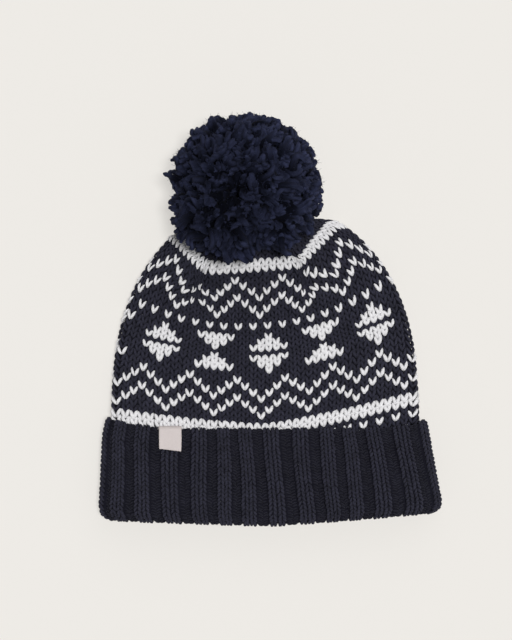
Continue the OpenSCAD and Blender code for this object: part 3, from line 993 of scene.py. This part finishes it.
class BEANIE_OT_rib_cuff(bpy.types.Operator):
    """Knit the turned-up cuff: a ribbed ground painted dark as shade, knit wales on the ribs and purl
    bumps between, painted darker as shade
    """

    bl_idname = "beanie.rib_cuff"
    bl_label = "Ribbed cuff"

    def execute(self, context):
        body, cuff, _ = shapes(context)
        flare, sunk, finer = 1.0, -0.0012, 1.5
        lip = cuff.outer / 2
        edge, _ = cuff_edge(cuff)
        ground = rib_points(cuff, body, cuff_profile(cuff, sunk), flare, cuff.rib_depth)
        inner = [(cuff.inner + INNER_GAP, s, 0.0, 0.0) for s in (0.04, 0.02, lip)]
        inside = rib_points(cuff, body, inner, flare, 0.0)
        # The ground is painted dark as the shade between the ribs' stitches.
        make_piece("cuff_ground", "cuff", "lining", ring_skin(np.concatenate([ground, inside])))
        skin = Skin(ground, cuff.ribs)
        run = math.pi * lip + (cuff.height - lip - edge) + math.pi * edge
        courses = int(run / cuff.course)
        legs = rib_legs(cuff, skin, courses, radius=0.00102, size=0.0012, seed=11, turned=-1.0)
        make_piece("cuff_ribs", "cuff", "rib", legs)
        # The purl bumps are painted darker as the shade in the valleys between the ribs.
        bumps = purl_bumps(cuff, skin, int(courses * finer), finer, radius=0.00068, seed=12)
        make_piece("cuff_purl", "cuff", "purl", bumps)
        return {"FINISHED"}


class BEANIE_OT_inner_band(bpy.types.Operator):
    """Knit the ribbed band inside the cuff"""

    bl_idname = "beanie.inner_band"
    bl_label = "Inner band"

    def execute(self, context):
        body, cuff, _ = shapes(context)
        flare, depth = 0.0, 0.0010
        low, high = cuff.outer / 2 + 0.0005, cuff.height - 0.0025
        heights = np.arange(low, high, RIB_STEP)
        outer = rib_points(cuff, body, [(0.0024, s, 1.0, 0.0) for s in heights], flare, depth)
        inner = rib_points(cuff, body, [(0.0008, s, -0.4, 0.0) for s in heights[::-1]], flare, depth)
        # The band's ground is painted dark as the shade between its stitches.
        make_piece("band_ground", "inner_band", "lining", ring_skin(np.concatenate([outer, inner])))
        courses = int((high - low) / cuff.course)
        for name, face, seed in (("band_ribs", outer, 21), ("band_lining", inner, 22)):
            legs = rib_legs(cuff, Skin(face, cuff.ribs), courses, radius=0.0009, size=0.0006,
                            seed=seed, turned=1.0)
            make_piece(name, "inner_band", "rib", legs)
        return {"FINISHED"}


def pom_frame(body, pom):
    """The ball's middle, the tie it turns on, and the outward direction of its flat seat."""
    tie = np.array([body.centre_x + body.gather_x, pom.tie_y, body.tie_z])
    middle = tie + pom.reach * np.array([0.0, math.cos(pom.lean), math.sin(pom.lean)])
    seat = np.array([0.0, math.cos(pom.seat_slope), math.sin(pom.seat_slope)])
    return middle, tie, seat


def parting_way(pom):
    """The direction from the ball's middle to its parting."""
    height = math.sqrt(pom.radius ** 2 - pom.parting_x ** 2 - pom.parting_y ** 2)
    return unit(np.array([pom.parting_x, pom.parting_y, height]))


def pom_limit(body, pom, ways):
    """The ball's radius in each direction, cut short at its flat seat and at the floor."""
    middle, tie, seat = pom_frame(body, pom)
    depth = np.dot(middle - tie, seat) - pom.seat
    toward, down = -(ways @ seat), -ways[:, 2]
    tiny, unlimited = 1e-6, 1.0
    to_seat = np.where(toward > 0, depth / np.maximum(toward, tiny), unlimited)
    to_floor = np.where(down > 0, middle[2] / np.maximum(down, tiny), unlimited)
    return np.minimum(to_seat, to_floor)


def even_ways(count):
    """Directions spread evenly over a ball."""
    i = np.arange(count) + 0.5
    z = 1.0 - 2.0 * i / count
    golden_angle = math.pi * (3.0 - math.sqrt(5.0))
    turn = i * golden_angle
    r = np.sqrt(1.0 - z * z)
    return columns(r * np.cos(turn), r * np.sin(turn), z)


def towards(ways, way, start, span):
    """An ease from 0 to 1 as directions come closer to one of them."""
    return smooth((ways @ unit(np.array(way)) - start) / span)


def core_shape(body, pom):
    """The ball's core, dented at the parting, painted dark as the shade deep inside the ball."""
    rings, sides = 24, 40
    f = math.pi * (1.0 - (np.arange(rings) + 0.5) / rings)[:, None]
    g = FULL_TURN * np.arange(sides) / sides
    ball = np.stack([np.sin(f) * np.cos(g), np.sin(f) * np.sin(g),
                     np.broadcast_to(np.cos(f), (rings, sides))], axis=2)
    ways = ball.reshape(-1, 3)
    reach = pom.radius * (0.70 - 0.25 * towards(ways, parting_way(pom), 0.80, 0.2))
    reach = np.minimum(reach, pom_limit(body, pom, ways) * 0.93)
    middle, _, _ = pom_frame(body, pom)
    return ring_skin((middle + ways * reach[:, None]).reshape(rings, sides, 3))


def strand_tips(body, pom, rng):
    """Directions of the strands, which lie together in tufts, and the distances of their tips."""
    count = pom.strands
    ways = unit(even_ways(count) + rng.normal(0.0, 0.05, (count, 3)))
    tufts = unit(even_ways(pom.tufts) + rng.normal(0.0, 0.06, (pom.tufts, 3)))
    home = np.argmax(ways @ tufts.T, axis=1)
    ways = unit(ways + 0.35 * (tufts[home] - ways))

    # The ball is flatter at its far end, fuller at two sides and hollow at the parting. One tuft
    # stands out, and the strands over the crown are longer.
    tip = pom.radius * (0.88 + 0.10 * rng.random(count))
    tip = tip * (1.0 + 0.016 * rng.normal(0.0, 1.0, pom.tufts).clip(-2.0, 1.2))[home]
    tip = tip - 0.0025 * smooth((ways[:, 1] - 0.2) / 0.6)
    tip = tip + pom.fuller * towards(ways, pom.fuller_way, 0.75, 0.20)
    tip = tip + pom.lower * towards(ways, pom.lower_way, 0.75, 0.20)
    tip = tip * (1.0 - 0.38 * towards(ways, parting_way(pom), 0.955, 0.04))
    tip = tip + pom.tuft * towards(ways, pom.tuft_way, 0.993, 0.005)
    tip = tip + pom.droop * towards(ways, pom.droop_way, 0.64, 0.30)
    return ways, np.minimum(tip, pom_limit(body, pom, ways) * 0.985 - 0.0014)


def strand_lines(body, pom, rng):
    """Curly plies of the ball's strands, which fall away from the parting: paths, ups and radii."""
    ways, tip = strand_tips(body, pom, rng)
    count, plies = pom.strands, pom.plies
    parting = parting_way(pom)

    # Each strand rises on the parting's side of its tip, and bends over to it.
    steps = np.linspace(0.0, 1.0, 18)
    t = steps[None, :, None]
    sweep = (0.50 * smooth((ways @ parting + 0.9) / 1.2))[:, None]
    root = unit(ways + 1.2 * sweep * parting) * (0.55 * tip)[:, None]
    bend = unit(ways + sweep * parting) * (0.95 * tip)[:, None]
    end = ways * tip[:, None]
    paths = (1 - t) ** 2 * root[:, None] + 2 * t * (1 - t) * bend[:, None] + t ** 2 * end[:, None]

    # It waves to two sides, more towards its tip.
    ups = unit(rng.normal(0.0, 1.0, (count, 3)))
    one = unit(np.cross(ways, ups))
    two = np.cross(ways, one)
    phases = FULL_TURN * rng.random((2, count, 1))
    curl = 0.0022 * (0.4 + 1.2 * rng.random((count, 1))) * smooth(steps / 0.6)
    waves = 1.3 + 1.0 * rng.random((count, 1))
    for phase, way in zip(phases, (one, two)):
        paths = paths + (curl * np.sin(FULL_TURN * waves * steps + phase))[..., None] * way[:, None]

    # Its plies wind around it, lie apart at the tip and end unevenly.
    turn = np.arange(plies) / plies + rng.random((count, 1))
    turn = FULL_TURN * (turn[..., None] + 0.7 * steps)
    turn = turn + 0.5 * rng.normal(0.0, 1.0, (count, plies, 1))
    splay = pom.strand * (0.40 + 0.30 * smooth(steps))[:, None]
    aside = (np.cos(turn)[..., None] * one[:, None, None]
             + np.sin(turn)[..., None] * two[:, None, None])
    uneven = 1.0 + 0.03 * rng.normal(0.0, 1.0, (count, plies, 1, 1)).clip(-1.5, 1.2) * t[None]
    middle, _, _ = pom_frame(body, pom)
    paths = middle + paths[:, None] * uneven + splay * aside
    paths = paths.reshape(count * plies, len(steps), 3)

    # Each ply is lumpy, thickest before its tip.
    lumps = 1.0 + 0.20 * rng.normal(0.0, 1.0, paths.shape[:2]).clip(-1.5, 1.5)
    girth = 0.85 + 0.25 * smooth(steps / 0.7) - 0.30 * smooth((steps - 0.90) / 0.10)
    radii = 0.74 * pom.strand * (0.8 + 0.4 * rng.random((count * plies, 1))) * girth * lumps
    ups = np.broadcast_to(np.repeat(ups, plies, axis=0)[:, None], paths.shape)
    return paths, ups, radii


def hair_lines(body, pom, rng, strands, strand_radii):
    """Fine hairs that stand out from the outer half of the strands: paths, ups and radii."""
    hairs = pom.hairs
    count, steps, _ = strands.shape
    middle, _, _ = pom_frame(body, pom)
    strand = rng.integers(0, count, hairs)
    step = rng.integers(steps // 2, steps, hairs)
    root = strands[strand, step]
    out = unit(rng.normal(0.0, 1.0, (hairs, 3)) + 0.8 * unit(root - middle))
    bow = unit(rng.normal(0.0, 1.0, (hairs, 3)))[:, None]
    reach = pom.hair * (0.5 + rng.random(hairs)) + strand_radii[strand, step]
    t = np.linspace(0.0, 1.0, 3)[None, :, None]
    paths = root[:, None] + reach[:, None, None] * (t * out[:, None] + 0.35 * t * t * bow)
    above_floor, taper = 0.001, np.array([1.0, 0.85, 0.4])
    paths[..., 2] = np.maximum(paths[..., 2], above_floor)
    radii = np.broadcast_to(pom.hair_radius * taper, paths.shape[:2])
    return paths, np.broadcast_to(bow, paths.shape), radii


class BEANIE_OT_pom_pom(bpy.types.Operator):
    """Make the pom pom: a core painted dark as shade, curly loose strands that fall away from a
    parting, and fuzz painted pale as sheen
    """

    bl_idname = "beanie.pom_pom"
    bl_label = "Pom pom"

    def execute(self, context):
        body, _, pom = shapes(context)
        rng = np.random.default_rng(7)
        # The core is painted dark as the shade deep inside the ball.
        make_piece("pom_core", "pom_pom", "lining", core_shape(body, pom))
        paths, ups, radii = strand_lines(body, pom, rng)
        make_piece("pom_strands", "pom_pom", "pom", tubes(paths, ups, radii, 6))
        hairs = hair_lines(body, pom, rng, paths, radii)
        # The fuzz is painted pale as sheen.
        make_piece("pom_fuzz", "pom_pom", "fuzz", tubes(*hairs, 3))
        return {"FINISHED"}


def plied(path, up, radius, turns):
    """Two plies of yarn wound around each other along a path."""
    up = np.broadcast_to(up, path.shape)
    _, across, lift = path_frames(path, up)
    angle = np.linspace(0.0, FULL_TURN * turns, len(path))[:, None]
    aside, ply = 0.48 * radius, 0.54 * radius
    paths = np.array([
        path + aside * (np.cos(turn) * across + np.sin(turn) * lift)
        for turn in (angle, angle + math.pi)
    ])
    radii = np.full(paths.shape[:2], ply)
    return tubes(paths, np.broadcast_to(up, paths.shape), radii, 8)


def join(parts):
    """Several sets of points, faces and maps as one, with quads and triangles kept apart."""
    points = [p.reshape(-1, 3) for p, _, _ in parts]
    starts = np.cumsum([0, *(len(p) for p in points)])
    faces = [np.concatenate([group[i] + start for (_, group, _), start in zip(parts, starts)])
             for i in range(2)]
    runs = [np.concatenate([group[i] for _, _, group in parts]) for i in range(2)]
    return np.concatenate(points), faces, runs


def knot(middle, size):
    """A yarn knot: one strand wound through itself three times."""
    t = np.linspace(0.0, FULL_TURN, 61)
    path = columns(np.sin(t) + 2.0 * np.sin(2 * t), -np.sin(3 * t), np.cos(t) - 2.0 * np.cos(2 * t))
    return plied(middle + path * (0.2 * size), np.array([0.3, 1.0, 0.2]), 0.22 * size, turns=9)


def yarn_ring(centre, axis, radius, thick, turns):
    """A ring of plied yarn around an axis."""
    askew = [1.0, 0.2, 0.1]
    one = unit(np.cross(axis, askew))
    two = np.cross(axis, one)
    t = np.linspace(0.0, FULL_TURN, 49)[:, None]
    return plied(centre + radius * (np.cos(t) * one + np.sin(t) * two), axis, thick, turns)


class BEANIE_OT_tie_yarns(bpy.types.Operator):
    """Wind the yarns at the crown: the gathering yarn, the tie, its knots and the ball's binding"""

    bl_idname = "beanie.tie_yarns"
    bl_label = "Tie yarns"

    def execute(self, context):
        body, cuff, pom = shapes(context)
        middle, tie, _ = pom_frame(body, pom)
        cord, knot_size = 0.0022, 0.0042
        inner_knot, stub_length = 0.2036, 0.006
        gather_radius, gather_yarn = 0.0073, 0.001
        binding_radius, binding_yarn = 0.0039, 0.0014
        above_knot, past_middle = 0.0045, 0.0014
        t = np.linspace(0.0, 1.0, 25)[:, None]

        def on_tie(s):
            return np.array([tie[0], cuff.hem_y + s, tie[2]])

        gather = on_tie(body.crown_height + stub_length / 2)
        make_piece("gather_yarn", "gather_cord", "tie",
                   yarn_ring(gather, ALONG, gather_radius, gather_yarn, turns=14))
        inside, end = on_tie(inner_knot), on_tie(body.crown_height + stub_length)
        make_piece("tie_cord", "tie_yarn", "tie",
                   join([plied(mix(inside, end, t), UP, cord, turns=3), knot(inside, knot_size)]))
        make_piece("tie_turn_knot", "tie_knot", "tie", knot(tie, knot_size))
        way = unit(middle - tie)
        path = mix(tie + way * above_knot, middle + way * past_middle, t)
        make_piece("pom_cord", "pom_tie", "tie", plied(path, SIDEWAYS, cord, turns=5))
        make_piece("pom_wraps", "pom_binding", "tie",
                   yarn_ring(middle, way, binding_radius, binding_yarn, turns=8))
        return {"FINISHED"}


class BEANIE_OT_back_seam(bpy.types.Operator):
    """Sew the seam up the inside of the back"""

    bl_idname = "beanie.back_seam"
    bl_label = "Back seam"

    def execute(self, context):
        body, cuff, _ = shapes(context)
        low, high = (np.array(corner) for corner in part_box("back_seam"))
        edge_yarn, thread, seam_half, stitch = 0.0009, 0.0004, 0.0016, 0.0020
        clear, sunk, fold_height, above = 0.001, 0.0005, 0.0016, 0.0010
        y = np.linspace(low[1] + clear, high[1] - clear, 181)
        v = (y - cuff.hem_y - body.start) / (body.crown_height - body.wall - body.start)
        middle = mix(cuff.rest_z, body.rest_z, smooth(v / 0.3))
        fold = fold_height * smooth((v - 0.6) / 0.3)
        z = np.maximum(body.wall - sunk, middle - body.hollow / 2) + fold + above
        parts = []
        for side in (-1, 1):
            x = np.full(len(y), body.centre_x + side * seam_half)
            parts.append(plied(columns(x, y, z), UP, edge_yarn, turns=40))
        weave = np.where(np.arange(len(y)) % 2 == 0, -1.0, 1.0)
        path = columns(body.centre_x + stitch * weave, y, z + thread)[None]
        parts.append(tubes(path, np.broadcast_to(UP, path.shape), np.full((1, len(y)), thread), 6))
        make_piece("seam_stitching", "back_seam", "tie", join(parts))
        return {"FINISHED"}


def tape(strip, ply, place):
    """A strip of tape along a line of (down, up) points, set out across its width by place."""
    away = unit(np.gradient(strip, axis=0))
    away = columns(away[:, 1], -away[:, 0])
    outline = np.concatenate([strip - away * ply / 2, (strip + away * ply / 2)[::-1]])
    rings = place(outline[:, 0], outline[:, 1])
    points, faces, runs = ring_skin(rings)
    rows, sides, _ = rings.shape
    quads = faces[0].reshape(rows, sides, 4)[:-1].reshape(-1, 4)
    maps = runs[0].reshape(rows, sides, 4, 2)[:-1].reshape(-1, 2)
    i = np.arange(len(strip) - 1)
    cap = columns(i, i + 1, sides - 2 - i, sides - 1 - i)
    caps = np.concatenate([cap[:, ::-1], cap + (rows - 1) * sides])
    return points, [quads, caps], [maps, np.full((4 * len(caps), 2), 0.5)]


def folded_tape(tag, ply):
    """The label: a tape folded once, which hangs from its sewn edge and curls a little."""
    bend = tag.thickness / 2 - ply / 2
    reach = tag.length - tag.thickness / 2
    run = np.linspace(0.0, reach, 17)
    fold = np.linspace(math.pi / 2, -math.pi / 2, 9)[1:-1]
    strip = np.concatenate([
        columns(run, np.full(len(run), bend)),
        columns(reach + bend * np.cos(fold), bend * np.sin(fold)),
        columns(run[::-1], np.full(len(run), -bend)),
    ])
    across = np.linspace(-0.5, 0.5, 15)[:, None]

    def hang(down, up):
        hung = down / tag.length
        x = across * tag.width * (1.0 + 0.012 * np.sin(down * 260.0))
        curl = 0.0005 * np.sin(across * 5.0) * hung ** 2
        lift = 0.0006 * (2.0 * across) ** 2 * hung
        slant = -0.0018 * across * hung
        return np.stack([tag.x + x, tag.y - down + slant, tag.z + up + curl + lift], axis=2)

    return tape(strip, ply, hang)


def wrapped_tape(tag, cuff, body, ply):
    """The label's sewn end, which wraps over the cuff's top edge."""
    edge, top = cuff_edge(cuff)
    aside = cuff_rise(cuff, (tag.x - body.centre_x) / (body.width / 2), cuff.height)
    roll_y = cuff.hem_y + top + aside
    clear, lap, end_turn = 0.0002, 0.0004, -0.5
    roll = edge + cuff.yarn + clear
    roll_z = tag.z - math.sqrt(roll ** 2 - (tag.y - roll_y) ** 2)
    turn = np.linspace(math.acos((tag.y - lap - roll_y) / roll), end_turn, 15)
    across = np.linspace(-0.5, 0.5, 15)[:, None]

    def wrap(along, up):
        x = tag.x - across * tag.width
        return np.stack(np.broadcast_arrays(x, roll_y + along, roll_z + up), axis=2)

    return tape(columns(roll * np.cos(turn), roll * np.sin(turn)), ply, wrap)


def tacks(tag):
    """Two short threads at each side of the label's sewn edge."""
    thread, half_long, apart, beside, arched = 0.00022, 0.0007, 0.0006, 0.0002, 0.0003
    t = np.linspace(-1.0, 1.0, 9)
    parts = []
    for side, row in zip(*cells([-1, 1], [-1, 1])):
        path = columns(tag.x + side * (tag.width / 2 + beside) + half_long * t,
                       np.full(len(t), tag.y + apart * row), tag.z + arched * (1 - t ** 2))
        parts.append(plied(path, UP, thread, turns=3))
    return join(parts)


class BEANIE_OT_label(bpy.types.Operator):
    """Fold the plain woven label, wrap its sewn end over the cuff's edge and tack it there"""

    bl_idname = "beanie.label"
    bl_label = "Label"

    def execute(self, context):
        body, cuff, _ = shapes(context)
        tag = context.scene.beanie_label
        ply = 0.00042
        piece = make_piece("label_tape", "label", "label", folded_tape(tag, ply))
        make_piece("label_root", "label_stitches", "label", wrapped_tape(tag, cuff, body, ply))
        make_piece("label_tacks", "label_stitches", "label", tacks(tag))
        return {"FINISHED"}


class BEANIE_OT_stage(bpy.types.Operator):
    """Set the floor, the soft light and the camera above the hat"""

    bl_idname = "beanie.stage"
    bl_label = "Stage"

    def execute(self, context):
        scene = context.scene
        look = scene.beanie_stage
        half, below = 4.0, 0.0004
        mesh = bpy.data.meshes.new("floor")
        corners = [(-half, -half, 0.0), (half, -half, 0.0), (half, half, 0.0), (-half, half, 0.0)]
        mesh.from_pydata(corners, [], [(0, 1, 2, 3)])
        mesh.materials.append(floor_material("pale_floor", scene.beanie_finish.floor))
        floor = bpy.data.objects.new("floor", mesh)
        floor.location = (0.0, 0.0, -below)
        scene.collection.objects.link(floor)

        world = bpy.data.worlds.new("soft_room")
        world.use_nodes = True
        background = world.node_tree.nodes["Background"]
        background.inputs["Color"].default_value = (1.0, 1.0, 1.0, 1.0)
        background.inputs["Strength"].default_value = look.room
        scene.world = world
        for name, share_lit, tilt, turn, width in (
            ("overhead", look.key, 7, -85, 10),
            ("window", look.fill, 46, -20, 55),
        ):
            lamp = bpy.data.lights.new(name, "SUN")
            lamp.energy = share_lit * math.pi
            lamp.angle = math.radians(width)
            light = bpy.data.objects.new(name, lamp)
            light.rotation_euler = (math.radians(-tilt), 0.0, math.radians(turn))
            light.location = (0.0, 0.0, 1.0)
            scene.collection.objects.link(light)

        lens = bpy.data.cameras.new("above")
        lens.sensor_fit = "VERTICAL"
        lens.sensor_height = 36.0
        lens.lens = lens.sensor_height * (look.height - look.level) / look.view
        camera = bpy.data.objects.new("above", lens)
        camera.location = (look.centre_x, look.centre_y, look.height)
        scene.collection.objects.link(camera)
        scene.camera = camera
        scene.view_settings.view_transform = "Standard"
        return {"FINISHED"}


class BEANIE_PT_sidebar(bpy.types.Panel):
    """Lists the beanie's sizes and the steps that build it"""

    bl_idname = "BEANIE_PT_sidebar"
    bl_label = "Beanie"
    bl_space_type = "VIEW_3D"
    bl_region_type = "UI"
    bl_category = "Beanie"

    def draw(self, context):
        for group in GROUPS:
            box = self.layout.box()
            box.label(text=GROUPS[group].__doc__)
            settings = getattr(context.scene, group)
            for name in settings.bl_rna.properties.keys():
                if name not in ("rna_type", "name"):
                    box.prop(settings, name)
        for step in STEPS:
            self.layout.operator(step.bl_idname)


GROUPS = {
    "beanie_body": BodyShape,
    "beanie_cuff": CuffShape,
    "beanie_pom": PomShape,
    "beanie_label": LabelShape,
    "beanie_finish": Finish,
    "beanie_stage": StageShape,
}
STEPS = (
    BEANIE_OT_stage,
    BEANIE_OT_knit_body,
    BEANIE_OT_rib_cuff,
    BEANIE_OT_inner_band,
    BEANIE_OT_back_seam,
    BEANIE_OT_tie_yarns,
    BEANIE_OT_pom_pom,
    BEANIE_OT_label,
)


def register():
    """Adds the settings, the building steps and the sidebar to Blender."""
    for name, group in GROUPS.items():
        bpy.utils.register_class(group)
        setattr(bpy.types.Scene, name, PointerProperty(type=group))
    for step in (*STEPS, BEANIE_PT_sidebar):
        bpy.utils.register_class(step)


def unregister():
    """Takes them out again, in the opposite order."""
    for step in (BEANIE_PT_sidebar, *reversed(STEPS)):
        bpy.utils.unregister_class(step)
    for name, group in reversed(GROUPS.items()):
        delattr(bpy.types.Scene, name)
        bpy.utils.unregister_class(group)


def main():
    """Builds the whole hat and its stage."""
    register()
    bpy.ops.beanie.stage()
    bpy.ops.beanie.knit_body()
    bpy.ops.beanie.rib_cuff()
    bpy.ops.beanie.inner_band()
    bpy.ops.beanie.back_seam()
    bpy.ops.beanie.tie_yarns()
    bpy.ops.beanie.pom_pom()
    bpy.ops.beanie.label()


if __name__ == "__main__":
    main()
